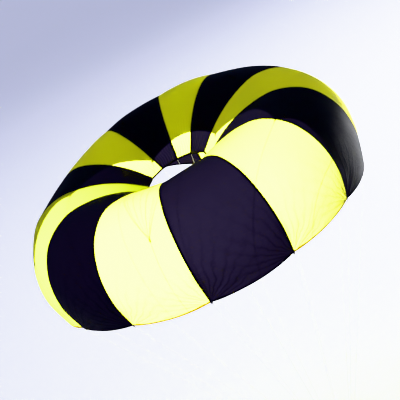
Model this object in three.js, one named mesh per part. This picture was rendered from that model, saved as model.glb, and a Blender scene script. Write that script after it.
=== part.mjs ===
// Inflated ring parachute: a round canopy with a pulled-down apex, its lines and its riser loop,
// in the shape in which it flies. Millimetres, +Z up the canopy's axis, origin in the riser loop's eye.
import * as THREE from "three";

// Driving dimensions
const SKIRT_RADIUS = 1200; // from the axis to a seam at the mouth
const LINES_MEET = 150; // height of the point that the suspension lines run to
const LINE_DROP = 1.85 * SKIRT_RADIUS; // from the skirt down to that point
const SKIRT_HEIGHT = LINES_MEET + LINE_DROP;
const APEX_KEEPER_HEIGHT = SKIRT_HEIGHT - 0.06 * SKIRT_RADIUS; // where the apex lines meet

// One seam from the skirt, over the crest and down to the vent: radius and height above the skirt
const SEAM_POINTS = [
  [1200, 0],
  [1251, 227],
  [1219, 456],
  [1093, 647],
  [883, 739],
  [652, 716],
  [436, 630],
  [246, 498],
];
// Where the seams stand round the axis, in degrees. The gores are not quite equal in flight.
const SEAM_AZIMUTHS = [-1.4, 28.7, 60.2, 92.8, 124.9, 156.8, 182.3, 210.8, 239.6, 267.7, 300.1, 328.5];
const GORES = SEAM_AZIMUTHS.length;
// How far a gore stands out between its seams, as a share of its width: full at the skirt, nearly flat
// over the crest, and easing between these shares of the way up
const BULGE = { skirt: 0.085, crest: 0.012, easesFrom: 0.12, easesTo: 0.55 };
// How the ring is out of round: a share of the radius, or of the skirt radius for heights
const SKIRT_OVAL = { share: 0.019, turn: 80 };
const SKIRT_THREE_LOBES = { share: 0.034, turn: -65 };
const VENT_OVAL = { share: 0.043, turn: 31 };
const SKIRT_SADDLE = 0.051;
const SKIRT_THREE_WAVES = -0.025;
const VENT_SHIFT = [7, -19];
// Where the skirt rides higher still: at each seam, and at the middle of each gore's hem
const SEAM_LIFTS = [0, 0, 0, 0, 53, -73, -61, 76, 0, 0, 0, 0];
const HEM_ARCHES = [0, 0, 0, 106, 106, 106, 106, 106, 0, 0, 0, 0];
const LIFT_POWER = 3; // how fast that dies away up the gore

// Cloth and tape
const CLOTH = 1.5;
const SEAM_GAP = 0.8; // between two gores, under the tape
const TAPE_WIDTH = 16;
const TAPE = 1.2;
const TAPE_CLEARANCE = 0.6; // between cloth and tape
const TAPE_END_GAP = 0.0005; // between a tape and the vent band, as a share of the way up a seam
const TAB_LENGTH = 16; // of a seam tape past the skirt
const BAND_START = 0.9935; // the share of the way up a seam at which the vent band begins
const ROWS = 14; // steps of the cloth from the skirt to the vent band
const COLUMNS = 6; // steps of the cloth across a gore

// Lines and fittings
const LINE = 2.5; // diameter of the suspension and apex lines
const CENTRE_LINE = 3.5;
const LINE_SIDES = 8;
const LINE_STEPS = 6;
const APEX_KEEPER = { radius: 9, height: 32, lineCircle: 6.5 };
const LINE_KEEPER = { radius: 16, height: 50, lineCircle: 11 };
const KEEPER_SIDES = 24;
const END_GAP = 1; // between a line's end and the tab or face it meets
const RISER = { web: 3, width: 25, eyeRadius: 12, eyeTop: 66, stackWidth: 12 };
const EYE_STEPS = 12;
const FITTING_GAP = 0.3;
const APEX_LINE_START = 3; // of an apex line from the vent's edge

const FINISHES = {
  yellowCloth: { color: 0xe6f01e, roughness: 0.55 },
  blackCloth: { color: 0x14131f, roughness: 0.55 },
  tape: { color: 0x08080b, roughness: 0.7 },
  line: { color: 0xd8d8d6, roughness: 0.6 },
  keeper: { color: 0x111114, roughness: 0.7 },
};

const radians = THREE.MathUtils.degToRad;
const meridian = new THREE.SplineCurve(SEAM_POINTS.map(([r, z]) => new THREE.Vector2(r, z)));

// The shares of the way up a seam at which the cloth has a row of points
const STOPS = [1];
for (let row = ROWS; row >= 0; row--) STOPS.unshift((BAND_START * row) / ROWS);

function seamAzimuth(index) {
  const turns = Math.floor(index / GORES);
  return radians(SEAM_AZIMUTHS[index - turns * GORES] + 360 * turns);
}

// The true ring is a little oval and wavy, most at the skirt.
function outOfRound(point, t) {
  const azimuth = Math.atan2(point.y, point.x);
  const wave = (lobes, turn) => Math.cos(lobes * azimuth + radians(turn));
  const atSkirt = 1 - t;
  const atVent = t * t;
  const swell =
    1 +
    atSkirt * SKIRT_OVAL.share * wave(2, SKIRT_OVAL.turn) +
    atSkirt * SKIRT_THREE_LOBES.share * wave(3, SKIRT_THREE_LOBES.turn) +
    atVent * VENT_OVAL.share * wave(2, VENT_OVAL.turn);
  const lift = SKIRT_SADDLE * wave(2, 0) + SKIRT_THREE_WAVES * wave(3, 0);
  point.x = point.x * swell + atVent * VENT_SHIFT[0];
  point.y = point.y * swell + atVent * VENT_SHIFT[1];
  point.z += SKIRT_HEIGHT + atSkirt * lift * SKIRT_RADIUS;
  return point;
}

// How much higher a point of the cloth rides than the wavy ring alone would put it
function hemLift(gore, across, t) {
  const from = gore % GORES;
  const share = THREE.MathUtils.smoothstep(across, -1, 1);
  const seams = THREE.MathUtils.lerp(SEAM_LIFTS[from], SEAM_LIFTS[(from + 1) % GORES], share);
  return (seams + HEM_ARCHES[from] * (1 - across * across)) * (1 - t) ** LIFT_POWER;
}

// A point of the middle of the cloth: across runs from -1 to 1 between a gore's seams, t from 0 to 1 up it.
function clothPoint(gore, across, t) {
  const from = seamAzimuth(gore);
  const to = seamAzimuth(gore + 1);
  const half = (to - from) / 2;
  const { x: radius, y: height } = meridian.getPoint(t);
  const along = meridian.getTangent(t);
  const width = 2 * radius * Math.sin(half);
  const ease = THREE.MathUtils.smoothstep(t, BULGE.easesFrom, BULGE.easesTo);
  const share = THREE.MathUtils.lerp(BULGE.skirt, BULGE.crest, ease);
  const stand = share * width * (1 - across * across);
  const point = new THREE.Vector3(
    radius * Math.cos(half) + along.y * stand,
    (across * width) / 2,
    height - along.x * stand + hemLift(gore, across, t),
  );
  point.applyAxisAngle(new THREE.Vector3(0, 0, 1), (from + to) / 2);
  return outOfRound(point, t);
}

// The cloth's outward normal at the same place
function clothNormal(gore, across, t) {
  const step = 1e-3;
  const t0 = Math.max(0, t - step);
  const t1 = Math.min(1, t + step);
  const up = clothPoint(gore, across, t1).sub(clothPoint(gore, across, t0));
  const side = clothPoint(gore, across + step, t).sub(clothPoint(gore, across - step, t));
  return side.cross(up).normalize();
}

// At a seam the normal is halfway between those of the two gores.
function seamFrame(seam, t) {
  const at = clothPoint(seam, -1, t);
  const before = clothNormal(seam + GORES - 1, 1, t);
  const normal = clothNormal(seam, -1, t).add(before).normalize();
  return { at, normal };
}

// How far across a gore something this many millimetres wide reaches: 2 is the whole gore.
function shareAcross(gore, t, distance) {
  const half = (seamAzimuth(gore + 1) - seamAzimuth(gore)) / 2;
  return distance / (meridian.getPoint(t).x * Math.sin(half));
}

// A closed solid between two grids of points, outer[row][column] and inner[row][column].
// A ring joins its last column to its first.
function shellGeometry(outer, inner, ring = false) {
  const rows = outer.length;
  const columns = outer[0].length;
  const count = rows * columns;
  const index = [];
  const quad = (a, b, c, d) => index.push(a, b, c, a, c, d);
  const lastColumn = ring ? columns : columns - 1;
  for (let row = 0; row < rows - 1; row++) {
    for (let column = 0; column < lastColumn; column++) {
      const next = (column + 1) % columns;
      const a = row * columns + column;
      const b = row * columns + next;
      const c = b + columns;
      const d = a + columns;
      quad(a, b, c, d);
      quad(count + a, count + d, count + c, count + b);
    }
  }
  for (let column = 0; column < lastColumn; column++) {
    const next = (column + 1) % columns;
    const top = (rows - 1) * columns;
    quad(count + column, count + next, next, column);
    quad(top + column, top + next, count + top + next, count + top + column);
  }
  for (let row = 0; !ring && row < rows - 1; row++) {
    const left = row * columns;
    const right = left + columns - 1;
    quad(count + left, left, left + columns, count + left + columns);
    quad(right, count + right, count + right + columns, right + columns);
  }
  const geometry = new THREE.BufferGeometry();
  geometry.setFromPoints([...outer.flat(), ...inner.flat()]);
  geometry.setIndex(index);
  return geometry;
}

function goreGeometry(gore) {
  const outer = [];
  const inner = [];
  for (const t of STOPS) {
    const reach = 1 - shareAcross(gore, t, SEAM_GAP / 2);
    const outerRow = [];
    const innerRow = [];
    for (let column = 0; column <= COLUMNS; column++) {
      const across = reach * ((2 * column) / COLUMNS - 1);
      const at = clothPoint(gore, across, t);
      const normal = clothNormal(gore, across, t);
      outerRow.push(at.clone().addScaledVector(normal, CLOTH / 2));
      innerRow.push(at.clone().addScaledVector(normal, -CLOTH / 2));
    }
    outer.push(outerRow);
    inner.push(innerRow);
  }
  return shellGeometry(outer, inner);
}

// The point where a seam tape's tab ends and its suspension line begins, and the line's lower end
function suspensionLineEnds(seam) {
  const { at, normal } = seamFrame(seam, 0);
  const corner = at.addScaledVector(normal, CLOTH / 2 + TAPE_CLEARANCE + TAPE / 2);
  const round = new THREE.Vector3(corner.x, corner.y, 0).setLength(LINE_KEEPER.lineCircle);
  const foot = round.setZ(LINES_MEET + END_GAP);
  const along = foot.clone().sub(corner).normalize();
  return { corner, tabEnd: corner.clone().addScaledVector(along, TAB_LENGTH), foot, along };
}

// A strip of tape that lies on both gores beside the seam and runs past the skirt as a tab, towards its line
function seamTapeGeometry(seam) {
  const before = seam + GORES - 1;
  const stops = STOPS.slice(0, -1);
  stops[ROWS] -= TAPE_END_GAP;
  const rows = stops.map((t) => {
    const left = 1 - shareAcross(before, t, TAPE_WIDTH / 2);
    const right = shareAcross(seam, t, TAPE_WIDTH / 2) - 1;
    return [
      { at: clothPoint(before, left, t), normal: clothNormal(before, left, t) },
      seamFrame(seam, t),
      { at: clothPoint(seam, right, t), normal: clothNormal(seam, right, t) },
    ];
  });
  const { corner, tabEnd } = suspensionLineEnds(seam);
  const tabDrop = tabEnd.sub(corner);
  const atSkirt = rows[0];
  rows.unshift(atSkirt.map(({ at, normal }) => ({ at: at.clone().add(tabDrop), normal })));
  const strip = (height) =>
    rows.map((row) => row.map(({ at, normal }) => at.clone().addScaledVector(normal, height)));
  const low = CLOTH / 2 + TAPE_CLEARANCE;
  return shellGeometry(strip(low + TAPE), strip(low));
}

function ventBandGeometry() {
  const grid = (height) =>
    [BAND_START, 1].map((t) => {
      const points = [];
      for (let gore = 0; gore < GORES; gore++) {
        points.push(seamFrame(gore, t));
        for (let column = 1; column < COLUMNS; column++) {
          const across = (2 * column) / COLUMNS - 1;
          points.push({ at: clothPoint(gore, across, t), normal: clothNormal(gore, across, t) });
        }
      }
      return points.map(({ at, normal }) => at.addScaledVector(normal, height));
    });
  const low = CLOTH / 2 + TAPE_CLEARANCE;
  return shellGeometry(grid(low + TAPE), grid(low), true);
}

// A round line drawn tight between two points
function lineGeometry(from, to, diameter) {
  const section = new THREE.Shape();
  for (let side = 0; side < LINE_SIDES; side++) {
    const angle = (2 * Math.PI * side) / LINE_SIDES;
    const x = (diameter / 2) * Math.cos(angle);
    const y = (diameter / 2) * Math.sin(angle);
    if (side === 0) section.moveTo(x, y);
    else section.lineTo(x, y);
  }
  section.closePath();
  const path = new THREE.LineCurve3(from, to);
  return new THREE.ExtrudeGeometry(section, { extrudePath: path, steps: LINE_STEPS });
}

function suspensionLineGeometry(seam) {
  const { tabEnd, foot, along } = suspensionLineEnds(seam);
  return lineGeometry(tabEnd.addScaledVector(along, END_GAP), foot, LINE);
}

// From the vent's edge at a seam down to the apex keeper
function apexLineGeometry(seam) {
  const edge = seamFrame(seam, 1).at;
  const round = new THREE.Vector3(edge.x, edge.y, 0).setLength(APEX_KEEPER.lineCircle);
  const foot = round.setZ(APEX_KEEPER_HEIGHT + END_GAP);
  const along = foot.clone().sub(edge).normalize();
  return lineGeometry(edge.addScaledVector(along, APEX_LINE_START), foot, LINE);
}

// A keeper is the bound sleeve in which lines are gathered. Its top face is at the height given.
function keeperGeometry({ radius, height }, top) {
  const geometry = new THREE.CylinderGeometry(radius, radius, height, KEEPER_SIDES);
  geometry.rotateX(Math.PI / 2);
  geometry.translate(0, 0, top - height / 2);
  return geometry;
}

function centreLineGeometry() {
  const top = APEX_KEEPER_HEIGHT - APEX_KEEPER.height - FITTING_GAP;
  const bottom = LINES_MEET + FITTING_GAP;
  return lineGeometry(new THREE.Vector3(0, 0, top), new THREE.Vector3(0, 0, bottom), CENTRE_LINE);
}

// A loop of webbing on edge: straight legs run from a round eye to where they are sewn together.
function riserLoopGeometry() {
  const { web, width, eyeRadius, eyeTop, stackWidth } = RISER;
  const spread = Math.asin(eyeRadius / (eyeTop - eyeRadius)); // the angle of a leg to the axis
  const outerRadius = eyeRadius + web;
  const outerTop = eyeTop + web / Math.sin(spread);
  const shoulder = outerTop - stackWidth / 2 / Math.tan(spread);
  const top = LINES_MEET - LINE_KEEPER.height - FITTING_GAP;
  const outline = new THREE.Shape();
  outline.moveTo(-stackWidth / 2, top);
  outline.lineTo(-stackWidth / 2, shoulder);
  outline.absarc(0, eyeRadius, outerRadius, Math.PI - spread, 2 * Math.PI + spread, false);
  outline.lineTo(stackWidth / 2, shoulder);
  outline.lineTo(stackWidth / 2, top);
  outline.closePath();
  const eye = new THREE.Path();
  eye.absarc(0, eyeRadius, eyeRadius, Math.PI - spread, 2 * Math.PI + spread, false);
  eye.lineTo(0, eyeTop);
  eye.closePath();
  outline.holes.push(eye);
  const options = { depth: width, bevelEnabled: false, curveSegments: EYE_STEPS };
  const geometry = new THREE.ExtrudeGeometry(outline, options);
  geometry.translate(0, 0, -width / 2);
  geometry.rotateX(Math.PI / 2);
  return geometry;
}

const parachute = new THREE.Group();
function addPiece(name, geometry, finish) {
  const mesh = new THREE.Mesh(geometry, new THREE.MeshStandardMaterial({ ...finish, metalness: 0 }));
  mesh.name = name;
  parachute.add(mesh);
}
const numbered = (name, index) => `${name}_${String(index + 1).padStart(2, "0")}`;

for (let index = 0; index < GORES; index++) {
  const cloth = index % 2 === 0 ? FINISHES.blackCloth : FINISHES.yellowCloth;
  addPiece(numbered("gore", index), goreGeometry(index), cloth);
  addPiece(numbered("seam_tape", index), seamTapeGeometry(index), FINISHES.tape);
  addPiece(numbered("suspension_line", index), suspensionLineGeometry(index), FINISHES.line);
  addPiece(numbered("apex_line", index), apexLineGeometry(index), FINISHES.line);
}
addPiece("vent_band", ventBandGeometry(), FINISHES.tape);
addPiece("apex_keeper", keeperGeometry(APEX_KEEPER, APEX_KEEPER_HEIGHT), FINISHES.keeper);
addPiece("centre_line", centreLineGeometry(), FINISHES.line);
addPiece("line_keeper", keeperGeometry(LINE_KEEPER, LINES_MEET), FINISHES.keeper);
addPiece("riser_loop", riserLoopGeometry(), FINISHES.tape);

export default parachute;
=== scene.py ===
"""The looks of the inflated ring parachute: cloth, tape, cord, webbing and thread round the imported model.

Metres, +Z up the canopy's axis, origin in the riser loop's eye. The canopy is held at the riser and flies."""
import math

import bpy
import numpy as np
from mathutils import Matrix, Vector


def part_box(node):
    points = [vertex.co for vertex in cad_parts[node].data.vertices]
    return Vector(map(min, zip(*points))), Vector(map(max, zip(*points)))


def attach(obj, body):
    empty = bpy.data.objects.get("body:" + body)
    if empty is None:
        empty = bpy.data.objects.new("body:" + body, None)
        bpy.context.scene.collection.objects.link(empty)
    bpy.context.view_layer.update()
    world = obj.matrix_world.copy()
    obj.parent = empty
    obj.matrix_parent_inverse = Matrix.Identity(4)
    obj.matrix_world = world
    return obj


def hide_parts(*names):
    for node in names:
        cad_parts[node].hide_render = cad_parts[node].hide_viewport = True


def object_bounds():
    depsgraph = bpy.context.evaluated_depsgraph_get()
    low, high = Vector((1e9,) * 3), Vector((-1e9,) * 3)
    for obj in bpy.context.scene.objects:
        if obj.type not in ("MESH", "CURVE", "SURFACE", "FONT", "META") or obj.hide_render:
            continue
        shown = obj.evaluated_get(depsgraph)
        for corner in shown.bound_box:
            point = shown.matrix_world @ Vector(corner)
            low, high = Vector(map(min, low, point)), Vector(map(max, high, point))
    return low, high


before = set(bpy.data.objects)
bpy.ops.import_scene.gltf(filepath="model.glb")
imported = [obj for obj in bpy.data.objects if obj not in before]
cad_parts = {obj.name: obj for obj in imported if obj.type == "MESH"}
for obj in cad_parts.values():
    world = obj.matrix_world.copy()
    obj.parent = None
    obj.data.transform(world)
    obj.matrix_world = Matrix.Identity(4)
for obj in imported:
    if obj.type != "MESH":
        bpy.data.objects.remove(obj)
cad_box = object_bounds()

# ------------------------------------------------------------------ the shape that the cloth was cut to
SKIRT_RADIUS = 1.2
LINES_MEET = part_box("line_keeper")[1].z
SKIRT_HEIGHT = LINES_MEET + 1.85 * SKIRT_RADIUS
APEX_KEEPER_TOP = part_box("apex_keeper")[1].z
SEAM_POINTS = np.array(
    [
        (1.200, 0.000),
        (1.251, 0.227),
        (1.219, 0.456),
        (1.093, 0.647),
        (0.883, 0.739),
        (0.652, 0.716),
        (0.436, 0.630),
        (0.246, 0.498),
    ]
)
SEAM_AZIMUTHS = [-1.4, 28.7, 60.2, 92.8, 124.9, 156.8, 182.3, 210.8, 239.6, 267.7, 300.1, 328.5]
GORES = len(SEAM_AZIMUTHS)
SKIRT_BULGE, CREST_BULGE = 0.085, 0.012
BULGE_EASES = (0.12, 0.55)
SKIRT_OVAL = (0.019, 80)
SKIRT_THREE_LOBES = (0.034, -65)
VENT_OVAL = (0.043, 31)
SKIRT_SADDLE = 0.051
SKIRT_THREE_WAVES = -0.025
VENT_SHIFT = np.array([0.007, -0.019])
SEAM_LIFTS = [0, 0, 0, 0, 0.053, -0.073, -0.061, 0.076, 0, 0, 0, 0]
HEM_ARCHES = [0, 0, 0, 0.106, 0.106, 0.106, 0.106, 0.106, 0, 0, 0, 0]
LIFT_POWER = 3
CAD_TAPE_MIDDLE = 0.00195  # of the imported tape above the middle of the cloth
TAB_LENGTH = 0.016
LINE_GAP = 0.001
LINE_CIRCLE = 0.011  # on which the suspension lines enter their keeper
APEX_LINE_CIRCLE = 0.0065
APEX_LINE_START = 0.003

# ------------------------------------------------------------------ what the cloth, tape and lines measure
CLOTH = 0.0009
SEAM_GAP = 0.0004
HEM = 0.016
TAPE_WIDTH = 0.016
TAPE = 0.0007
TAPE_MIDDLE = 0.00095  # of the sewn tape above the middle of the cloth
BINDING_WIDTH = 0.013
BINDING = 0.0006
BINDING_MIDDLE = 0.0019
LINE = 0.0025
CENTRE_LINE = 0.0035
SHEET_ROWS, SHEET_COLUMNS = 150, 84
SEWN_ABOVE = 0.0001  # of a stitch above the face that it is sewn on
TANGENT_STEP, NORMAL_STEP = 1e-4, 1e-3  # between the two places that give a slope, as shares


def smoothstep(value, low, high):
    share = np.clip((value - low) / (high - low), 0, 1)
    return share * share * (3 - 2 * share)


def seam_azimuth(index):
    turns, seam = divmod(index, GORES)
    return math.radians(SEAM_AZIMUTHS[seam] + 360 * turns)


def meridian(t):
    """Radius and height above the skirt at the share t of the way up a seam: a uniform Catmull-Rom curve."""
    last = len(SEAM_POINTS) - 1
    place = np.clip(np.asarray(t, float), 0, 1) * last
    start = np.minimum(place.astype(int), last)
    w = (place - start)[..., None]
    before, at, after, beyond = (SEAM_POINTS[np.clip(start + step, 0, last)] for step in (-1, 0, 1, 2))
    leave, arrive = (after - before) / 2, (beyond - at) / 2
    cubic = 2 * at - 2 * after + leave + arrive
    square = 3 * after - 3 * at - 2 * leave - arrive
    return cubic * w**3 + square * w**2 + leave * w + at


def meridian_tangent(t):
    ahead = meridian(np.minimum(t + TANGENT_STEP, 1)) - meridian(np.maximum(t - TANGENT_STEP, 0))
    return ahead / np.linalg.norm(ahead, axis=-1, keepdims=True)


def out_of_round(point, t):
    """The flying ring is a little oval and wavy, most at the skirt."""
    azimuth = np.arctan2(point[..., 1], point[..., 0])

    def wave(lobes, turn):
        return np.cos(lobes * azimuth + math.radians(turn))

    at_skirt, at_vent = 1 - t, t * t
    swell = (
        1
        + at_skirt * SKIRT_OVAL[0] * wave(2, SKIRT_OVAL[1])
        + at_skirt * SKIRT_THREE_LOBES[0] * wave(3, SKIRT_THREE_LOBES[1])
        + at_vent * VENT_OVAL[0] * wave(2, VENT_OVAL[1])
    )
    lift = SKIRT_SADDLE * wave(2, 0) + SKIRT_THREE_WAVES * wave(3, 0)
    return np.stack(
        [
            point[..., 0] * swell + at_vent * VENT_SHIFT[0],
            point[..., 1] * swell + at_vent * VENT_SHIFT[1],
            point[..., 2] + SKIRT_HEIGHT + at_skirt * lift * SKIRT_RADIUS,
        ],
        axis=-1,
    )


def hem_lift(gore, across, t):
    """How much higher a point of the cloth rides than the wavy ring alone would put it"""
    first = gore % GORES
    low, high = SEAM_LIFTS[first], SEAM_LIFTS[(first + 1) % GORES]
    lift = low + (high - low) * smoothstep(across, -1, 1) + HEM_ARCHES[first] * (1 - across * across)
    return lift * (1 - t) ** LIFT_POWER


def cloth_point(gore, across, t):
    """The middle of the cloth. across runs from -1 to 1 between a gore's seams, t from 0 to 1 up it."""
    across, t = np.broadcast_arrays(np.asarray(across, float), np.asarray(t, float))
    begin, end = seam_azimuth(gore), seam_azimuth(gore + 1)
    half = (end - begin) / 2
    radius, height = np.moveaxis(meridian(t), -1, 0)
    along_r, along_z = np.moveaxis(meridian_tangent(t), -1, 0)
    width = 2 * radius * math.sin(half)
    share = SKIRT_BULGE + (CREST_BULGE - SKIRT_BULGE) * smoothstep(t, *BULGE_EASES)
    stand = share * width * (1 - across * across)
    x = radius * math.cos(half) + along_z * stand
    y = across * width / 2
    middle = (begin + end) / 2
    turned = [x * math.cos(middle) - y * math.sin(middle), x * math.sin(middle) + y * math.cos(middle)]
    height = height - along_r * stand + hem_lift(gore, across, t)
    return out_of_round(np.stack([*turned, height], axis=-1), t)


def cloth_normal(gore, across, t):
    """The cloth's outward normal at the same place"""
    across, t = np.broadcast_arrays(np.asarray(across, float), np.asarray(t, float))
    above, below = np.minimum(t + NORMAL_STEP, 1), np.maximum(t - NORMAL_STEP, 0)
    up = cloth_point(gore, across, above) - cloth_point(gore, across, below)
    side = cloth_point(gore, across + NORMAL_STEP, t) - cloth_point(gore, across - NORMAL_STEP, t)
    normal = np.cross(side, up)
    return normal / np.linalg.norm(normal, axis=-1, keepdims=True)


def unit(vectors):
    return vectors / np.linalg.norm(vectors, axis=-1, keepdims=True)


def seam_frame(seam, t):
    """A point on a seam and the normal halfway between those of the two gores that meet there"""
    both = cloth_normal(seam, -1, t) + cloth_normal(seam + GORES - 1, 1, t)
    return cloth_point(seam, -1, t), unit(both)


def half_width(gore, t):
    half = (seam_azimuth(gore + 1) - seam_azimuth(gore)) / 2
    return meridian(t)[..., 0] * math.sin(half)


def lengths_along(path):
    """The distance along a path at each of its points"""
    return np.concatenate([[0], np.cumsum(np.linalg.norm(np.diff(path, axis=0), axis=1))])


FINE = np.linspace(0, 1, 2001)
FINE_LENGTHS = lengths_along(meridian(FINE))
SEAM_LENGTH = FINE_LENGTHS[-1]


def share_at(distance):
    """The share t that lies this far up a seam"""
    return np.interp(distance, FINE_LENGTHS, FINE)


def length_at(t):
    """How far up a seam the share t lies"""
    return np.interp(t, FINE, FINE_LENGTHS)


def line_ends(seam):
    """Where a seam tape meets the skirt, where its tab ends, and the line's two ends"""
    at, normal = seam_frame(seam, np.array(0.0))
    corner = at + normal * CAD_TAPE_MIDDLE
    foot = np.array([*(unit(corner[:2]) * LINE_CIRCLE), LINES_MEET + LINE_GAP])
    along = unit(foot - corner)
    tab_end = corner + along * TAB_LENGTH
    return corner, tab_end, tab_end + along * LINE_GAP, foot


def apex_line_ends(seam):
    edge = seam_frame(seam, np.array(1.0))[0]
    foot = np.array([*(unit(edge[:2]) * APEX_LINE_CIRCLE), APEX_KEEPER_TOP + LINE_GAP])
    return edge + unit(foot - edge) * APEX_LINE_START, foot


# ------------------------------------------------------------------ camera
CAMERA_AIM = Vector((-0.023, 0.009, 2.600))
CAMERA_DISTANCE = 14.2
CAMERA_AZIMUTH, CAMERA_ELEVATION, CAMERA_ROLL = 10.81, 20.96, 30.03
CAMERA_LENS, CAMERA_SENSOR = 180, 36  # millimetres
CAMERA_SEES_TO = 200


def direction(azimuth, elevation):
    """The unit vector at this azimuth and elevation, in degrees"""
    azimuth, elevation = math.radians(azimuth), math.radians(elevation)
    level = math.cos(elevation)
    return Vector((level * math.cos(azimuth), level * math.sin(azimuth), math.sin(elevation)))


def make_camera():
    azimuth, roll = math.radians(CAMERA_AZIMUTH), math.radians(CAMERA_ROLL)
    back = direction(CAMERA_AZIMUTH, CAMERA_ELEVATION)
    right = Vector((-math.sin(azimuth), math.cos(azimuth), 0))
    up = back.cross(right)
    rolled_right = right * math.cos(roll) - up * math.sin(roll)
    rolled_up = back.cross(rolled_right)
    data = bpy.data.cameras.new("camera")
    data.lens, data.sensor_width = CAMERA_LENS, CAMERA_SENSOR
    data.clip_end = CAMERA_SEES_TO
    camera = bpy.data.objects.new("camera", data)
    turn = Matrix((rolled_right, rolled_up, back)).transposed().to_4x4()
    camera.matrix_world = Matrix.Translation(CAMERA_AIM + back * CAMERA_DISTANCE) @ turn
    bpy.context.scene.collection.objects.link(camera)
    bpy.context.scene.camera = camera


make_camera()


# ------------------------------------------------------------------ node trees
def feed(tree, value, socket):
    """Joins a node's socket, or a number worked out by nodes, to an input. Plain values are set on it."""
    if isinstance(value, Field):
        value = value.socket
    if isinstance(value, bpy.types.NodeSocket):
        tree.links.new(value, socket)
    else:
        socket.default_value = value


def add(tree, kind, inputs=None, **settings):
    """Adds a node, sets its properties and feeds its inputs, which are given by name or number."""
    made = tree.nodes.new(kind)
    for key, value in settings.items():
        setattr(made, key, value)
    for key, value in (inputs or {}).items():
        feed(tree, value, made.inputs[key])
    return made


class Field:
    """A number that the nodes of a tree work out. Arithmetic on it adds Math nodes."""

    def __init__(self, tree, socket):
        self.tree, self.socket = tree, socket

    def math(self, operation, *others):
        inputs = dict(enumerate((self, *others)))
        return Field(self.tree, add(self.tree, "ShaderNodeMath", inputs, operation=operation).outputs[0])

    def __add__(self, other):
        return self.math("ADD", other)

    def __sub__(self, other):
        return self.math("SUBTRACT", other)

    def __mul__(self, other):
        return self.math("MULTIPLY", other)

    def __truediv__(self, other):
        return self.math("DIVIDE", other)

    def __neg__(self):
        return self.math("MULTIPLY", -1.0)

    def sin(self):
        return self.math("SINE")

    def fades(self, reach):
        """1 where this distance is nothing, dying away over the reach"""
        return (-(self / reach)).math("EXPONENT")

    def clear_of(self, reach):
        """0 where this distance is nothing, rising to 1 over the reach"""
        return -(self.fades(reach) - 1.0)


def geometry_tree(name, **sockets):
    """A new Geometry Nodes tree with one geometry in and out, and its named inputs as fields"""
    tree = bpy.data.node_groups.new(name, "GeometryNodeTree")
    tree.interface.new_socket("Geometry", in_out="INPUT", socket_type="NodeSocketGeometry")
    for label, kind in sockets.items():
        tree.interface.new_socket(label.replace("_", " "), in_out="INPUT", socket_type="NodeSocket" + kind)
    tree.interface.new_socket("Geometry", in_out="OUTPUT", socket_type="NodeSocketGeometry")
    given = tree.nodes.new("NodeGroupInput").outputs
    return tree, {socket.name: Field(tree, socket) for socket in given if socket.name}


def close_tree(tree, given, geometry):
    realized = add(tree, "GeometryNodeRealizeInstances", {"Geometry": geometry})
    inputs = {"Geometry": realized.outputs[0], "Material": given["Material"]}
    painted = add(tree, "GeometryNodeSetMaterial", inputs)
    add(tree, "NodeGroupOutput", {"Geometry": painted.outputs[0]})


def attribute(tree, name, data_type="FLOAT"):
    node = add(tree, "GeometryNodeInputNamedAttribute", {"Name": name}, data_type=data_type)
    return Field(tree, node.outputs["Attribute"])


def grow(piece, tree, **values):
    """Runs a Geometry Nodes tree on a piece, with its inputs set by their identifiers."""
    modifier = piece.modifiers.new(tree.name, "NODES")
    modifier.node_group = tree
    for item in tree.interface.items_tree:
        key = item.name.replace(" ", "_")
        if item.in_out == "INPUT" and key in values:
            modifier[item.identifier] = values[key]


SMOOTH_ANGLE = math.radians(50)  # faces that meet at less than this look like one surface


def settle(piece, thickness=0.0):
    """Works the piece's modifiers out into a plain mesh, after a wall thickness where one is given."""
    if thickness:
        wall = piece.modifiers.new("thickness", "SOLIDIFY")
        wall.thickness, wall.offset = thickness, 0.0
        wall.use_even_offset = False
    graph = bpy.context.evaluated_depsgraph_get()
    mesh = bpy.data.meshes.new_from_object(
        piece.evaluated_get(graph), preserve_all_data_layers=True, depsgraph=graph
    )
    piece.modifiers.clear()
    piece.data = mesh
    mesh.polygons.foreach_set("use_smooth", [True] * len(mesh.polygons))
    mesh.set_sharp_from_angle(angle=SMOOTH_ANGLE)


# ------------------------------------------------------------------ materials
def linear(*colour):
    """The linear colour that sockets take, from three sRGB values of up to 255"""
    shares = [value / 255 for value in colour]
    return tuple(((s + 0.055) / 1.055) ** 2.4 if s > 0.04 else s / 12.92 for s in shares) + (1.0,)


def new_material(name):
    material = bpy.data.materials.new(name)
    material.use_nodes = True
    material.node_tree.nodes.clear()
    return material, material.node_tree


def surface_of(tree, shader):
    add(tree, "ShaderNodeOutputMaterial", {"Surface": shader.outputs[0]})


def cloth_place(tree):
    """Metres across and up the cloth, or round and along a cord or tape"""
    place = add(tree, "ShaderNodeAttribute", attribute_name="place")
    parts = add(tree, "ShaderNodeSeparateXYZ", {0: place.outputs["Vector"]})
    return place.outputs["Vector"], Field(tree, parts.outputs[0]), Field(tree, parts.outputs[1])


def stored_number(tree, name):
    return Field(tree, add(tree, "ShaderNodeAttribute", attribute_name=name).outputs["Fac"])


MIX_LOW, MIX_HIGH, MIX_RESULT = 6, 7, 2  # the Mix node's colour sockets


def noise(tree, vector, scale, detail=2.0, roughness=0.5):
    inputs = {"Vector": vector, "Scale": scale, "Detail": detail, "Roughness": roughness}
    return Field(tree, add(tree, "ShaderNodeTexNoise", inputs).outputs[0])


def blend_colour(tree, share, low, high):
    inputs = {"Factor": share, MIX_LOW: low, MIX_HIGH: high}
    return add(tree, "ShaderNodeMix", inputs, data_type="RGBA").outputs[MIX_RESULT]


def bump(tree, height, distance):
    return add(tree, "ShaderNodeBump", {"Height": height, "Distance": distance, "Strength": 1.0}).outputs[0]


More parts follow.
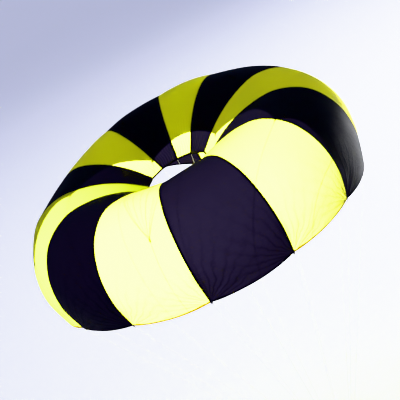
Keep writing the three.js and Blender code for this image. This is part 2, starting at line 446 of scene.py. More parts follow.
def principled(tree, colour, roughness, **others):
    """A plain surface. The others are its further inputs, written with _ for each space."""
    inputs = {"Base Color": colour, "Roughness": roughness}
    inputs |= {key.replace("_", " "): value for key, value in others.items()}
    return add(tree, "ShaderNodeBsdfPrincipled", inputs)


RIPSTOP_PITCH = 0.006  # metres between two of the thicker threads that stop a tear
THREAD_PITCH = 0.0012
FAN_PITCH = 0.20  # radians between two creases that run out from a corner
FAN_CREASE_REACH, FAN_CREASE_START = 0.16, 0.09
STREAK_PITCH, STREAK_REACH = 0.019, 0.10  # the creases that run down from the vent
BUNCH_PITCH, BUNCH_REACH = 0.015, 0.022  # the creases across the cloth beside a seam
SEAM_SHADE_REACH = 0.008  # to which the layers of a seam darken the light let through
CLOTH_RELIEF = 0.0005


def ridges(value, pitch, sharpness):
    """Raised lines a pitch apart"""
    return (value * (math.pi / pitch)).sin().math("ABSOLUTE").math("POWER", sharpness)


def fan_creases(side, rise, wander):
    """Fine creases that run out from a corner that a line pulls, at the distances side and rise from it"""
    reach = (side * side + rise * rise).math("SQRT")
    angle = rise.math("ARCTAN2", side)
    lines = ridges(angle + wander * 0.5, FAN_PITCH, 9.0)
    return lines * reach.fades(FAN_CREASE_REACH) * reach.clear_of(FAN_CREASE_START) * side.clear_of(0.015)


def ripstop(name, dye, painted_shade_dye, glow, seam_and_shade_glow, hem_glow, passes, specular):
    """Thin coated nylon that lets light through: less of it by the seams and in the hem, with painted shade
    darkening it in creases and on the gores given a painted shade
    """
    material, tree = new_material(name)
    place, across, up = cloth_place(tree)
    keys = ("edge", "up", "left", "right", "down", "painted_shade")
    edge, rise, left, right, down, painted_shade = (stored_number(tree, key) for key in keys)
    crossing = ridges(across, RIPSTOP_PITCH, 30).math("MAXIMUM", ridges(up, RIPSTOP_PITCH, 30))
    weave = (across * (2 * math.pi / THREAD_PITCH)).sin() * (up * (2 * math.pi / THREAD_PITCH)).sin()
    mottle = noise(tree, place, 5.0, 4.0, 0.6)
    crumple = noise(tree, place, 42.0, 3.0, 0.55)
    fans = fan_creases(left, rise, mottle) + fan_creases(right, rise, mottle)
    streaks = ridges(across + mottle * 0.05, STREAK_PITCH, 7.0) * down.fades(STREAK_REACH)
    streaks = streaks * noise(tree, place, 9.0)
    bunched = (noise(tree, place, 3.5) - 0.45).math("MAXIMUM", 0.0) * 4.0
    gathers = ridges(up + mottle * 0.02, BUNCH_PITCH, 3.0) * edge.fades(BUNCH_REACH)
    gathers = gathers * bunched * rise.clear_of(0.05)
    creases = fans + streaks * 1.6 + gathers
    colour = blend_colour(tree, mottle * 0.7 + crossing * 0.25, dye, painted_shade_dye)
    in_hem = (rise - HEM).math("LESS_THAN", 0.0)
    # Painted shade: creases and each gore's painted shade darken the light let through, besides the real
    # dimming by the seam's layers
    painted_shade_and_seams = painted_shade + edge.fades(SEAM_SHADE_REACH) * 0.3 + creases * 1.3
    lit = blend_colour(tree, painted_shade_and_seams.math("MINIMUM", 1.0), glow, seam_and_shade_glow)
    lit = blend_colour(tree, in_hem, lit, hem_glow)
    relief = crossing * 0.35 + weave * 0.12 + crumple * 1.3 + creases * 9.0
    normal = bump(tree, relief, CLOTH_RELIEF)
    face = principled(tree, colour, mottle * 0.14 + 0.42, Normal=normal, Specular_IOR_Level=specular)
    through = add(tree, "ShaderNodeBsdfTranslucent", {"Color": lit, "Normal": normal})
    both = add(tree, "ShaderNodeMixShader", {0: passes, 1: face.outputs[0], 2: through.outputs[0]})
    surface_of(tree, both)
    return material


def woven(name, dark, light, pitch, slope, roughness, relief, sheen=0.2, specular=0.5):
    """Tape, webbing or thread: slanting ribs of yarn that change direction down the middle"""
    material, tree = new_material(name)
    place, across, along = cloth_place(tree)
    slant = across.math("ABSOLUTE") * slope + along
    rib = ridges(slant, pitch, 1.0)
    yarn = ridges(across, pitch * 0.5, 0.7)
    fuzz = noise(tree, place, 900.0, 2.0, 0.6)
    tone = noise(tree, place, 14.0, 3.0, 0.6)
    colour = blend_colour(tree, rib * 0.45 + tone * 0.5, dark, light)
    normal = bump(tree, rib * 0.7 + yarn * 0.2 + fuzz * 0.25, relief)
    face = principled(
        tree,
        colour,
        fuzz * 0.12 + roughness,
        Normal=normal,
        Sheen_Weight=sheen,
        Sheen_Roughness=0.5,
        Specular_IOR_Level=specular,
    )
    surface_of(tree, face)
    return material


def braided(name, dark, light, strands, pitch):
    """Round braid: place holds turns round the cord and metres along it."""
    material, tree = new_material(name)
    place, turns, along = cloth_place(tree)
    lean = along * (2 * math.pi / pitch)
    round_it = turns * (2 * math.pi * strands)
    right_hand = (round_it + lean).sin()
    left_hand = (round_it - lean).sin()
    plait = right_hand.math("MAXIMUM", left_hand)
    fleck = noise(tree, place, 60.0, 2.0, 0.6)
    colour = blend_colour(tree, plait * 0.3 + fleck * 0.5, dark, light)
    normal = bump(tree, plait, 0.0003)
    face = principled(tree, colour, fleck * 0.2 + 0.5, Normal=normal, Sheen_Weight=0.25, Sheen_Roughness=0.5)
    surface_of(tree, face)
    return material


YELLOW_CLOTH = ripstop(
    "yellow ripstop",
    dye=(0.41, 0.40, 0.002, 1.0),
    painted_shade_dye=(0.36, 0.35, 0.001, 1.0),
    glow=(0.60, 0.62, 0.16, 1.0),
    seam_and_shade_glow=(0.26, 0.30, 0.02, 1.0),
    hem_glow=(0.14, 0.11, 0.004, 1.0),
    passes=0.6,
    specular=0.15,
)
BLACK_CLOTH = ripstop(
    "black ripstop",
    dye=(0.0035, 0.0035, 0.0045, 1.0),
    painted_shade_dye=(0.0028, 0.0028, 0.0036, 1.0),
    glow=(0.049, 0.046, 0.062, 1.0),
    seam_and_shade_glow=(0.018, 0.017, 0.024, 1.0),
    hem_glow=(0.001, 0.001, 0.002, 1.0),
    passes=0.5,
    specular=0.04,
)
TAPE_MATERIAL = woven(
    "seam tape",
    linear(4, 4, 6),
    linear(12, 12, 15),
    pitch=0.0016,
    slope=1.0,
    roughness=0.7,
    relief=0.0003,
    sheen=0.0,
    specular=0.1,
)
WEBBING_MATERIAL = woven(
    "riser webbing",
    linear(14, 14, 17),
    linear(40, 40, 46),
    pitch=0.0030,
    slope=1.2,
    roughness=0.5,
    relief=0.0006,
)
THREAD_WEAVE = {"pitch": 0.0010, "slope": 1.0, "roughness": 0.45, "relief": 0.0001}
BLACK_THREAD = woven("black thread", linear(16, 16, 20), linear(46, 46, 54), **THREAD_WEAVE)
YELLOW_THREAD = woven("yellow thread", linear(178, 176, 16), linear(226, 224, 60), **THREAD_WEAVE)
LINE_MATERIAL = braided("braided line", linear(150, 151, 154), linear(206, 206, 204), strands=4, pitch=0.006)
WHIPPING_MATERIAL = braided("whipping cord", linear(20, 20, 24), linear(52, 52, 58), strands=3, pitch=0.004)


# ------------------------------------------------------------------ meshes
def new_piece(name, vertices, faces, material=None, edges=()):
    mesh = bpy.data.meshes.new(name)
    mesh.from_pydata([tuple(v) for v in np.asarray(vertices, float)], list(edges), list(faces))
    piece = bpy.data.objects.new(name, mesh)
    bpy.context.scene.collection.objects.link(piece)
    if material:
        mesh.materials.append(material)
    mesh.polygons.foreach_set("use_smooth", [True] * len(mesh.polygons))
    return piece


def store(piece, name, values):
    """Keeps a number, or a vector, for each point of a piece's mesh."""
    values = np.asarray(values, np.float32)
    kind, field = ("FLOAT_VECTOR", "vector") if values.ndim == 2 else ("FLOAT", "value")
    piece.data.attributes.new(name, kind, "POINT").data.foreach_set(field, values.ravel())


def grid_faces(rows, columns, ring=False):
    """Quads over a grid of points in rows, facing out where columns run left to right and rows run up"""
    last = columns if ring else columns - 1
    faces = []
    for row in range(rows - 1):
        for column in range(last):
            a = row * columns + column
            b = row * columns + (column + 1) % columns
            faces.append((a, b, b + columns, a + columns))
    return faces


def grid_piece(name, points, material=None, ring=False):
    rows, columns = points.shape[:2]
    return new_piece(name, points.reshape(-1, 3), grid_faces(rows, columns, ring), material)


def vectors_with(first, second):
    return np.stack([np.ravel(first), np.ravel(second), np.zeros(np.size(first))], axis=-1)


def tube(name, path, radius, material, sides=10):
    """A closed round tube along a path, with turns round it and metres along it kept as its place"""
    path = np.asarray(path, float)
    ahead = unit(np.gradient(path, axis=0))
    spare = np.array([0.0, 0.0, 1.0]) if abs(ahead[0][2]) < 0.9 else np.array([1.0, 0.0, 0.0])
    side = unit(np.cross(ahead, spare))
    lift = np.cross(side, ahead)
    angles = np.linspace(0, 2 * math.pi, sides, endpoint=False)
    ring = np.cos(angles)[None, :, None] * side[:, None] + np.sin(angles)[None, :, None] * lift[:, None]
    rings = path[:, None] + ring * radius
    faces = grid_faces(len(path), sides, ring=True)
    faces += [tuple(reversed(range(sides))), tuple(range((len(path) - 1) * sides, len(path) * sides))]
    piece = new_piece(name, rings.reshape(-1, 3), faces, material)
    lengths = lengths_along(path)
    turns = np.broadcast_to(angles / (2 * math.pi), rings.shape[:2])
    store(piece, "place", vectors_with(turns, np.broadcast_to(lengths[:, None], rings.shape[:2])))
    return piece


def place_piece(piece, slot, *nodes):
    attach(piece, "root")
    if nodes:
        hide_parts(*nodes)


def numbered(name, index):
    return f"{name}_{index + 1:02d}"


# ------------------------------------------------------------------ cords: every line is drawn tight
LINE_POINTS = 40


def taut_line(name, start, end, diameter, node):
    path = np.linspace(start, end, LINE_POINTS)
    piece = tube(name, path, diameter / 2, LINE_MATERIAL)
    place_piece(piece, "line", node)
    length = float(np.linalg.norm(end - start))


def make_lines():
    for seam in range(GORES):
        start, end = line_ends(seam)[2:]
        taut_line(numbered("cord_suspension", seam), start, end, LINE, numbered("suspension_line", seam))
        start, end = apex_line_ends(seam)
        taut_line(numbered("cord_apex", seam), start, end, LINE, numbered("apex_line", seam))
    low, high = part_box("centre_line")
    axis = np.array([0.0, 0.0, 1.0])
    taut_line("cord_centre", axis * high.z, axis * low.z, CENTRE_LINE, "centre_line")


make_lines()


# ------------------------------------------------------------------ gores
def gore_tree():
    """Lays the small shapes of stretched cloth on a smooth gore: gathers along the seams, fans of pleats
    from the two corners that the lines pull, gathers at the vent, and slack between them."""
    tree, given = geometry_tree(
        "Gore cloth",
        Gather_height="Float",
        Gather_pitch="Float",
        Gather_reach="Float",
        Fan_height="Float",
        Fan_reach="Float",
        Fan_pleats="Float",
        Vent_gather_height="Float",
        Slack_height="Float",
        Slack_size="Float",
        Seed="Float",
        Material="Material",
    )
    left, right, up, down = (attribute(tree, name) for name in ("left", "right", "up", "down"))
    place = attribute(tree, "place", "FLOAT_VECTOR")

    def seeded_noise(scale, detail=2.0):
        inputs = {"Vector": place, "W": given["Seed"], "Scale": scale, "Detail": detail}
        return Field(tree, add(tree, "ShaderNodeTexNoise", inputs, noise_dimensions="4D").outputs[0])

    clusters = (seeded_noise(3.2) - 0.42).math("MAXIMUM", 0.0) * 3.0
    drift = seeded_noise(6.0) * 7.0
    height = attribute(tree, "crease")
    for hand, side in enumerate((left, right)):
        gathers = (up / given["Gather pitch"] * (2 * math.pi) + drift + float(hand)).sin()
        beside = side.fades(given["Gather reach"]) * side.clear_of(0.012)
        height = height + gathers * clusters * given["Gather height"] * beside
        reach = (side * side + up * up).math("SQRT")
        angle = up.math("ARCTAN2", side)
        pleats = (angle * given["Fan pleats"] + drift * 0.35 + float(hand)).sin()
        at_corner = reach.fades(given["Fan reach"]) * reach.clear_of(0.05) * side.clear_of(0.02)
        height = height + pleats * given["Fan height"] * at_corner
    vent_gathers = (left * 150.0 + drift * 0.5).sin() * down.fades(0.10) * down.clear_of(0.03)
    height = height + vent_gathers * given["Vent gather height"] * left.clear_of(0.02) * right.clear_of(0.02)
    slack = (seeded_noise(given["Slack size"], 1.5) - 0.5) * 2.0 * given["Slack height"]
    height = height + slack * left.clear_of(0.06) * right.clear_of(0.06) * down.clear_of(0.06)
    outward = attribute(tree, "outward", "FLOAT_VECTOR")
    offset = add(tree, "ShaderNodeVectorMath", {0: outward, "Scale": height}, operation="SCALE")
    moved = add(tree, "GeometryNodeSetPosition", {"Geometry": given["Geometry"], "Offset": offset.outputs[0]})
    close_tree(tree, given, moved.outputs[0])
    return tree


# Creases of their own that the load presses into a gore: the gore, then across and metres up at both ends,
# half its width and its depth
CREASES = [
    (11, (0.62, 0.70), (0.18, 0.05), 0.008, -0.0025),
    (0, (-0.90, 0.02), (-0.45, 0.16), 0.008, -0.004),
    (0, (0.92, 0.02), (0.40, 0.20), 0.008, -0.004),
    (10, (0.90, 0.03), (0.30, 0.34), 0.009, -0.004),
]


def crease_depth(gore, across, up, width):
    """How deep the named creases press at each point, in metres along the outward normal"""
    total = np.zeros_like(up)
    for owner, (across_0, up_0), (across_1, up_1), half, depth in CREASES:
        if owner != gore:
            continue
        x, y = across * width, up
        x0, x1 = across_0 * width, across_1 * width
        run, rise = x1 - x0, up_1 - up_0
        share = np.clip(((x - x0) * run + (y - up_0) * rise) / (run**2 + rise**2), 0, 1)
        gap = np.hypot(x - x0 - share * run, y - up_0 - share * rise)
        total += depth * np.exp(-((gap / half) ** 2)) * (0.35 + 0.65 * np.sin(math.pi * share))
    return total


def sheet_shares():
    """Rows close together by the skirt, where the pleats are small, and columns close by the seams"""
    even = np.linspace(0, 1, SHEET_ROWS)
    rows = share_at(SEAM_LENGTH * (0.5 * even + 0.5 * even**2))
    line = np.linspace(-1, 1, SHEET_COLUMNS + 1)
    return rows, 0.55 * line + 0.45 * np.sin(math.pi / 2 * line)


# Painted shade: how much darker the light let through is painted on some gores, all over and towards the vent
SHADED_GORES = {8: 0.6, 9: 0.5, 10: 0.7}
SHADED_AT_VENT = {1: 1.9, 9: 0.6, 11: 1.4}
VENT_REACH = 0.26


def painted_shade_at(gore, down):
    return SHADED_GORES.get(gore, 0.0) + SHADED_AT_VENT.get(gore, 0.0) * np.exp(-down / VENT_REACH)


GORE_FOLDS = {
    "Gather_height": 0.0030,
    "Gather_pitch": 0.034,
    "Gather_reach": 0.040,
    "Fan_height": 0.0075,
    "Fan_reach": 0.11,
    "Fan_pleats": 11.0,
    "Vent_gather_height": 0.0020,
    "Slack_height": 0.007,
    "Slack_size": 3.0,
}


def make_gore(gore, tree):
    rows, columns = sheet_shares()
    t = rows[:, None]
    reach = 1 - SEAM_GAP / 2 / half_width(gore, t)
    across = reach * columns[None, :]
    t = np.broadcast_to(t, across.shape)
    points = cloth_point(gore, across, t)
    outward = cloth_normal(gore, across, t)
    width = half_width(gore, t)
    up = length_at(t)
    left, right = (1 + across) * width, (1 - across) * width
    down = SEAM_LENGTH - up
    dark = gore % 2 == 0
    cloth = BLACK_CLOTH if dark else YELLOW_CLOTH
    piece = grid_piece(numbered("cloth_gore", gore), points)
    store(piece, "outward", outward.reshape(-1, 3))
    store(piece, "place", vectors_with(across * width, up))
    numbers = {
        "left": left,
        "right": right,
        "up": up,
        "down": down,
        "edge": np.minimum(np.minimum(left, right), up),
        "crease": crease_depth(gore, across, up, width),
        # painted shade on the light that this gore lets through
        "painted_shade": painted_shade_at(gore, down),
    }
    for name, values in numbers.items():
        store(piece, name, values.ravel())
    grow(piece, tree, Seed=1.7 * gore, Material=cloth, **GORE_FOLDS)
    settle(piece, CLOTH)
    place_piece(piece, "black_cloth" if dark else "yellow_cloth", numbered("gore", gore))
    return piece


def make_gores():
    tree = gore_tree()
    return [make_gore(gore, tree) for gore in range(GORES)]


gores = make_gores()


# ------------------------------------------------------------------ seam tapes and vent binding
TAPE_STEP = 0.012
TAPE_COLUMNS = (-1.0, -0.5, 0.0, 0.5, 1.0)
UNDER_BINDING = 0.002  # that a seam tape runs on beneath the vent binding


def beside_seam(seam, distance, t, height):
    """A point this far to one side of a seam, on the cloth and this high above it, and its normal"""
    if abs(distance) < 1e-6:
        at, normal = seam_frame(seam, t)
    else:
        gore = seam + GORES - 1 if distance < 0 else seam
        across = 1 - abs(distance) / half_width(gore, t)
        across = across if distance < 0 else -across
        at, normal = cloth_point(gore, across, t), cloth_normal(gore, across, t)
    return at + normal * height, normal


def make_tape(seam):
    end = SEAM_LENGTH - BINDING_WIDTH + UNDER_BINDING
    t = share_at(np.linspace(0, end, int(end / TAPE_STEP)))
    columns = [beside_seam(seam, share * TAPE_WIDTH / 2, t, TAPE_MIDDLE) for share in TAPE_COLUMNS]
    points = np.stack([at for at, _ in columns], axis=1)
    corner, tab_end = line_ends(seam)[:2]
    steps = np.linspace(1, 0, 6, endpoint=False)[:, None, None]
    points = np.concatenate([points[0][None] + (tab_end - corner) * steps, points])
    up = np.concatenate([-TAB_LENGTH * steps[:, 0, 0], length_at(t)])
    piece = grid_piece(numbered("tape_seam", seam), points, TAPE_MATERIAL)
    across = np.array(TAPE_COLUMNS) * TAPE_WIDTH / 2
    store(piece, "place", vectors_with(*np.broadcast_arrays(across[None, :], up[:, None])))
    settle(piece, TAPE)
    place_piece(piece, "tape", numbered("seam_tape", seam))


def ring_places(per_gore):
    """Every gore's places across, in order round the vent"""
    return [(gore, 2 * step / per_gore - 1) for gore in range(GORES) for step in range(per_gore)]


def ring_point(gore, across, t, height):
    """On the cloth or above it, with seams taking the normal between both gores"""
    t = np.asarray(t, float)
    if across == -1:
        at, normal = seam_frame(gore, t)
    else:
        at, normal = cloth_point(gore, across, t), cloth_normal(gore, across, t)
    return at + normal * height, normal


def make_vent_binding():
    """Tape folded round the edge of the vent"""
    lengths = SEAM_LENGTH - np.linspace(BINDING_WIDTH, 0, 6)
    shares = share_at(lengths)
    turn = np.linspace(0, math.pi, 7)[1:-1]
    columns = []
    for gore, across in ring_places(16):
        outside, normals = ring_point(gore, across, shares, BINDING_MIDDLE)
        inside = outside[::-1] - 2 * BINDING_MIDDLE * normals[::-1]
        edge, normal = ring_point(gore, across, 1.0, 0.0)
        onward = unit(edge - ring_point(gore, across, shares[-2], 0.0)[0])
        fold = [edge + BINDING_MIDDLE * (normal * math.cos(a) + onward * math.sin(a)) for a in turn]
        columns.append(np.concatenate([outside, fold, inside]))
    points = np.stack(columns, axis=1)
    piece = grid_piece("tape_vent", points, TAPE_MATERIAL, ring=True)
    down = lengths_along(points[:, 0])
    around = lengths_along(np.concatenate([points[0], points[0][:1]]))
    store(piece, "place", vectors_with(*np.broadcast_arrays(down[:, None], around[None, :-1])))
    settle(piece, BINDING)
    place_piece(piece, "tape", "vent_band")


def make_tapes():
    for seam in range(GORES):
        make_tape(seam)
    make_vent_binding()


make_tapes()


# ------------------------------------------------------------------ stitches
def stitch_tree():
    """Lays a row of stitches along every edge chain, each standing on the surface that it is sewn through."""
    tree, given = geometry_tree(
        "Stitch row", Pitch="Float", Stitch_length="Float", Thread_radius="Float", Material="Material"
    )
    row = add(tree, "GeometryNodeMeshToCurve", {"Mesh": given["Geometry"]})
    spacing = {"Curve": row.outputs[0], "Length": given["Pitch"]}
    spaced = add(tree, "GeometryNodeResampleCurve", spacing, mode="LENGTH")
    cylinder = add(
        tree,
        "GeometryNodeMeshCylinder",
        {"Vertices": 6, "Radius": given["Thread radius"], "Depth": given["Stitch length"]},
    )
    lying = {"Geometry": cylinder.outputs[0], "Rotation": (0, math.pi / 2, 0)}
    laid = add(tree, "GeometryNodeTransform", lying)
    tangent = tree.nodes.new("GeometryNodeInputTangent")
    facing = add(
        tree,
        "FunctionNodeAxesToRotation",
        {"Primary Axis": attribute(tree, "outward", "FLOAT_VECTOR"), "Secondary Axis": tangent.outputs[0]},
        primary_axis="Z",
        secondary_axis="X",
    )
    stitches = add(
        tree,
        "GeometryNodeInstanceOnPoints",
        {"Points": spaced.outputs[0], "Instance": laid.outputs[0], "Rotation": facing.outputs[0]},
    )
    close_tree(tree, given, stitches.outputs[0])
    return tree


def chain_piece(name, chains):
    """Edge chains from (points, outward) pairs, for a stitch row to follow"""
    points = np.concatenate([at for at, _ in chains])
    edges, start = [], 0
    for at, _ in chains:
        edges += [(start + i, start + i + 1) for i in range(len(at) - 1)]
        start += len(at)
    piece = new_piece(name, points, [], edges=edges)
    store(piece, "outward", np.concatenate([outward for _, outward in chains]))
    return piece


def sew(name, chains, tree, slot, thread, pitch=0.006, radius=0.00035):
    piece = chain_piece(name, chains)
    grow(piece, tree, Pitch=pitch, Stitch_length=pitch * 0.72, Thread_radius=radius, Material=thread)
    settle(piece)
    store(piece, "place", mesh_points(piece))
    place_piece(piece, slot)


def mesh_points(piece):
    values = np.empty(len(piece.data.vertices) * 3, np.float32)
    piece.data.vertices.foreach_get("co", values)
    return values.reshape(-1, 3)


TAPE_ROW, TACK_REACH = 0.34, 0.3  # of the tape's width, on both sides of the seam
TACK_STEP = 0.001
VENT_ROWS = (0.0025, 0.006)  # in from the binding's lower edge
HEM_ROW = HEM * 0.85


def chain_of(places):
    """A chain from a list of points with their normals"""
    return np.stack([at for at, _ in places]), np.stack([normal for _, normal in places])


def seam_rows(seam):
    """Two rows down each seam tape, and a zigzag bar tack where its tab leaves the skirt"""
    top = TAPE_MIDDLE + TAPE / 2 + SEWN_ABOVE
    t = share_at(np.linspace(0.004, SEAM_LENGTH - BINDING_WIDTH - 0.002, 130))
    chains = [beside_seam(seam, side * TAPE_WIDTH * TAPE_ROW, t, top) for side in (-1, 1)]
    zigzag = []
    for step, side in zip(range(3, 17), (-1, 1) * 7):
        zigzag.append(beside_seam(seam, side * TAPE_WIDTH * TACK_REACH, share_at(TACK_STEP * step), top))
    return [*chains, chain_of(zigzag)]


def vent_rows():
    top = BINDING_MIDDLE + BINDING / 2 + SEWN_ABOVE
    chains = []
    for inset in VENT_ROWS:
        t = share_at(SEAM_LENGTH - BINDING_WIDTH + inset)
        around = [ring_point(gore, across, t, top) for gore, across in ring_places(12)]
        chains.append(chain_of([*around, around[0]]))
    return chains


def hem_row(gore):
    """The row that holds the hem, on the outside of the finished gore"""
    rows, columns = sheet_shares()
    row = int(np.argmin(np.abs(length_at(rows) - HEM_ROW)))
    count = len(columns)
    first = row * count
    points = mesh_points(gores[gore])
    one, other = points[first : first + count], points[first + len(rows) * count :][:count]
    outward = cloth_normal(gore, columns, rows[row])
    is_out = ((one - other) * outward).sum(axis=1) > 0
    at = np.where(is_out[:, None], one, other) + outward * SEWN_ABOVE
    return at[1:-1], outward[1:-1]


def make_stitches(tree):
    for seam in range(GORES):
        sew(numbered("stitches_seam", seam), seam_rows(seam), tree, "tape", BLACK_THREAD)
    sew("stitches_vent", vent_rows(), tree, "tape", BLACK_THREAD, pitch=0.005)
    for start, slot, thread in ((0, "black_cloth", BLACK_THREAD), (1, "yellow_cloth", YELLOW_THREAD)):
        rows = [hem_row(gore) for gore in range(start, GORES, 2)]
        sew("stitches_hem_" + slot.split("_")[0], rows, tree, slot, thread)


stitching = stitch_tree()
make_stitches(stitching)


# ------------------------------------------------------------------ keepers, knots and riser
def winding_tree():
    """Winds cord round each point's own axis."""
    tree, given = geometry_tree(
        "Cord winding",
        Turns="Float",
        Winding_radius="Float",
        Winding_length="Float",
        Cord_radius="Float",
        Material="Material",
    )
    spiral = add(
        tree,
        "GeometryNodeCurveSpiral",
        {
            "Resolution": 20,
            "Rotations": given["Turns"],
            "Start Radius": given["Winding radius"],
            "End Radius": given["Winding radius"],
            "Height": given["Winding length"],
        },
    )
    section = add(tree, "GeometryNodeCurvePrimitiveCircle", {"Resolution": 8, "Radius": given["Cord radius"]})
    wound = add(
        tree,
        "GeometryNodeCurveToMesh",
        {"Curve": spiral.outputs[0], "Profile Curve": section.outputs[0], "Fill Caps": True},
    )
    facing = add(
        tree,
        "FunctionNodeAlignRotationToVector",
        {"Vector": attribute(tree, "outward", "FLOAT_VECTOR")},
        axis="Z",
    )
    copies = add(
        tree,
        "GeometryNodeInstanceOnPoints",
        {"Points": given["Geometry"], "Instance": wound.outputs[0], "Rotation": facing.outputs[0]},
    )
    close_tree(tree, given, copies.outputs[0])
    return tree


def wind(name, starts, axes, tree, slot, material, **sizes):
    piece = new_piece(name, starts, [])
    store(piece, "outward", axes)
    grow(piece, tree, Material=material, **sizes)
    settle(piece)
    store(piece, "place", mesh_points(piece) * 40)
    place_piece(piece, slot)


def lathe(name, profile, material, sides=48):
    """A closed body turned about the axis from (radius, height) points that run up and start and end on it"""
    angles = np.linspace(0, 2 * math.pi, sides, endpoint=False)
    inner = profile[1:-1]
    vertices = [(r * math.cos(a), r * math.sin(a), z) for r, z in inner for a in angles]
    faces = grid_faces(len(inner), sides, ring=True)
    foot, head = len(vertices), len(vertices) + 1
    vertices += [(0, 0, profile[0][1]), (0, 0, profile[-1][1])]
    top = (len(inner) - 1) * sides
    faces += [(foot, (i + 1) % sides, i) for i in range(sides)]
    faces += [(head, top + i, top + (i + 1) % sides) for i in range(sides)]
    piece = new_piece(name, vertices, faces, material)
    places = mesh_points(piece)
    store(piece, "place", vectors_with(np.arctan2(places[:, 1], places[:, 0]) * 0.02, places[:, 2]))
    return piece


def make_keeper(name, node, cord_radius, tree):
    """A webbing sleeve round the lines, whipped with cord"""
    low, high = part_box(node)
    radius = (high.x - low.x) / 2 - 2 * cord_radius
    lip = 0.12 * (high.z - low.z)
    soft = 0.25 * radius
    profile = [
        (0, low.z + 0.0002),
        (radius - soft, low.z + 0.0002),
        (radius, low.z + soft * 0.8),
        (radius * 0.97, low.z + lip),
        (radius * 0.97, high.z - lip),
        (radius, high.z - soft * 0.8),
        (radius - soft, high.z - 0.0002),
        (0, high.z - 0.0006),
    ]
    sleeve = lathe(name + "_sleeve", profile, WEBBING_MATERIAL)
    place_piece(sleeve, "webbing", node)
    length = high.z - low.z - 2 * lip
    wind(
        name + "_whipping",
        [(0, 0, low.z + lip)],
        [(0, 0, 1)],
        tree,
        "webbing",
        WHIPPING_MATERIAL,
        Turns=length / (2 * cord_radius * 1.03),
        Winding_radius=radius * 0.97 + cord_radius * 0.9,
        Winding_length=length,
        Cord_radius=cord_radius,
    )


def make_knots(tree):
    """The turns with which each suspension line is whipped below its tab"""
    starts, axes = [], []
    for seam in range(GORES):
        _, _, start, foot = line_ends(seam)
        along = unit(foot - start)
        starts.append(start + along * 0.002)
        axes.append(along)
    wind(
        "line_whippings",
        starts,
        axes,
        tree,
        "line",
        WHIPPING_MATERIAL,
        Turns=5.5,
        Winding_radius=LINE / 2 + 0.0007,
        Winding_length=0.009,
        Cord_radius=0.0009,
    )


def ribbon(name, path, normals, thickness, width, material):
    """A webbing band with rounded edges along a path in the XZ plane, its width along Y"""
    path, normals = np.asarray(path, float), np.asarray(normals, float)
    edge = thickness / 2
    turn = np.linspace(-math.pi / 2, math.pi / 2, 5)
    section = [(width / 2 - edge + edge * math.cos(a), edge * math.sin(a)) for a in turn]
    section += [(-y, z) for y, z in reversed(section)]
    rings = []
    for at, normal in zip(path, normals):
        rings.append([(at[0] + normal[0] * lift, y, at[1] + normal[1] * lift) for y, lift in section])
    rings = np.array(rings)
    count = len(section)
    faces = grid_faces(len(path), count, ring=True)
    faces += [tuple(reversed(range(count))), tuple(range((len(path) - 1) * count, len(path) * count))]
    piece = new_piece(name, rings.reshape(-1, 3), faces, material)
    lengths = lengths_along(path)
    across = np.array([y for y, _ in section])
    store(piece, "place", vectors_with(*np.broadcast_arrays(across[None, :], lengths[:, None])))
    return piece


RISER_WEB, RISER_WIDTH = 0.003, 0.025
EYE_RADIUS, EYE_TOP = 0.012, 0.066


def riser_paths():
    """The middle of the loop's webbing from the top of one leg round the eye to the top of the other, and of
    the two tails that are sewn outside the legs"""
    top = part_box("riser_loop")[1].z
    middle = EYE_RADIUS + RISER_WEB / 2
    spread = math.asin(EYE_RADIUS / (EYE_TOP - EYE_RADIUS))
    stack = RISER_WEB / 2
    bend = np.linspace(0, 1, 7)[:, None]
    tangent_point = np.array([middle * math.cos(spread), EYE_RADIUS + middle * math.sin(spread)])
    leg_top = np.array([stack, tangent_point[1] + (tangent_point[0] - stack) / math.tan(spread)])
    straight = np.linspace(top - 0.0003, leg_top[1] + 0.008, 8)
    upper = np.stack([np.full(8, stack), straight], axis=1)
    start, handle, end = upper[-1], leg_top, leg_top + (tangent_point - leg_top) * 0.2
    curve = (1 - bend) ** 2 * start + 2 * bend * (1 - bend) * handle + bend**2 * end
    angles = np.linspace(spread, -math.pi - spread, 41)
    arc = np.stack([middle * np.cos(angles), EYE_RADIUS + middle * np.sin(angles)], axis=1)
    down = np.linspace(end, tangent_point, 9)[1:-1]
    right_leg = np.concatenate([upper[:-1], curve, down])
    left_leg = (right_leg * [-1, 1])[::-1]
    loop = np.concatenate([right_leg, arc, left_leg])
    tail_z = np.linspace(top - 0.0003, EYE_TOP - 0.004, 10)
    tail = np.stack([np.full(10, stack + RISER_WEB), tail_z], axis=1)
    return loop, tail, tail * [-1, 1]


def path_normals(path):
    ahead = unit(np.gradient(path, axis=0))
    return np.stack([-ahead[:, 1], ahead[:, 0]], axis=1)


def riser_band(name, path):
    return ribbon(name, path, path_normals(path), RISER_WEB * 0.97, RISER_WIDTH, WEBBING_MATERIAL)


def box_stitch(side):
    """A boxed cross of stitches on one outer face of the riser's stack"""
    x = side * (2 * RISER_WEB + SEWN_ABOVE)
    y, low, high = RISER_WIDTH * 0.38, EYE_TOP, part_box("riser_loop")[1].z - 0.004
    corners = [(-y, low), (y, low), (y, high), (-y, high), (-y, low), (y, high), (y, low), (-y, high)]
    points = []
    for (y0, z0), (y1, z1) in zip(corners, corners[1:]):
        points += [(x, y0 + (y1 - y0) * s, z0 + (z1 - z0) * s) for s in np.linspace(0, 1, 6, endpoint=False)]
    points.append((x, *corners[-1]))
    return np.array(points), np.tile([side, 0.0, 0.0], (len(points), 1))


def make_riser(tree):
    loop, *tails = riser_paths()
    place_piece(riser_band("riser_webbing_loop", loop), "webbing", "riser_loop")
    for index, tail in enumerate(tails):
        place_piece(riser_band(numbered("riser_webbing_tail", index), tail), "webbing")
    crosses = [box_stitch(1), box_stitch(-1)]
    sew("stitches_riser", crosses, tree, "webbing", YELLOW_THREAD, pitch=0.004, radius=0.0004)


winding = winding_tree()
make_keeper("apex_keeper", "apex_keeper", 0.0008, winding)
make_keeper("line_keeper", "line_keeper", 0.0012, winding)
make_knots(winding)
make_riser(stitching)


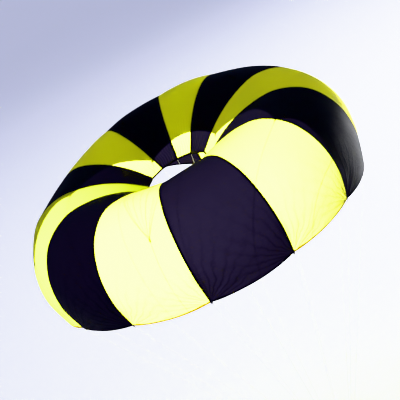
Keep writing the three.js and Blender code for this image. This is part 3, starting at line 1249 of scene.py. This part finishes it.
# ------------------------------------------------------------------ floor and light
FLOOR_SIZE = 80.0
FLOOR_DARK, FLOOR_LIGHT = (0.80, 0.81, 0.84, 1.0), (0.84, 0.85, 0.88, 1.0)
SKY_COLOUR, SKY_STRENGTH = (0.72, 0.75, 1.0, 1.0), 0.83
SUN_AZIMUTH, SUN_ELEVATION = -9.3, 30.1  # the way the light travels
SUN_STRENGTH, SUN_COLOUR = 300.0, (1.0, 0.98, 0.94)
SUN_WIDTH = math.radians(0.35)
CANOPY_MIDDLE = Vector((0, 0, 2.7))
FLOOR_LAMP_PLACE, FLOOR_LAMP_AIM = (-7.0, 7.0, 3.6), (-6.0, 4.0, 0.0)
FLOOR_LAMP_POWER, FLOOR_LAMP_CONE = 25500, math.radians(110)


def make_floor():
    material, tree = new_material("floor")
    position = add(tree, "ShaderNodeTexCoord").outputs["Object"]
    tone = noise(tree, position, 0.4, 2.0)
    colour = blend_colour(tree, tone, FLOOR_DARK, FLOOR_LIGHT)
    surface_of(tree, principled(tree, colour, 0.9, Specular_IOR_Level=0.1))
    half = FLOOR_SIZE / 2
    height = cad_box[0].z
    corners = [(-half, -half, height), (half, -half, height), (half, half, height), (-half, half, height)]
    floor = new_piece("floor", corners, [(0, 1, 2, 3)], material)
    floor.visible_shadow = False


def add_lamp(name, kind, location, target, energy, colour=(1, 1, 1), **settings):
    data = bpy.data.lights.new(name, kind)
    data.energy, data.color = energy, colour
    for key, value in settings.items():
        setattr(data, key, value)
    lamp = bpy.data.objects.new(name, data)
    lamp.location = location
    lamp.rotation_mode = "QUATERNION"
    lamp.rotation_quaternion = (Vector(target) - Vector(location)).to_track_quat("-Z", "Y")
    lamp.visible_camera = False
    lamp.visible_glossy = False
    bpy.context.scene.collection.objects.link(lamp)


def make_light():
    world = bpy.data.worlds.new("studio")
    bpy.context.scene.world = world
    world.use_nodes = True
    background = world.node_tree.nodes["Background"]
    background.inputs["Color"].default_value = SKY_COLOUR
    background.inputs["Strength"].default_value = SKY_STRENGTH
    below = CANOPY_MIDDLE - direction(SUN_AZIMUTH, SUN_ELEVATION) * 8
    add_lamp("sun", "SUN", below, CANOPY_MIDDLE, SUN_STRENGTH, SUN_COLOUR, angle=SUN_WIDTH)
    cone = {"spot_size": FLOOR_LAMP_CONE, "spot_blend": 1.0, "shadow_soft_size": 1.5}
    add_lamp("floor_light", "SPOT", FLOOR_LAMP_PLACE, FLOOR_LAMP_AIM, FLOOR_LAMP_POWER, **cone)


make_floor()
make_light()
scene = bpy.context.scene
scene.view_settings.view_transform = "Khronos PBR Neutral"
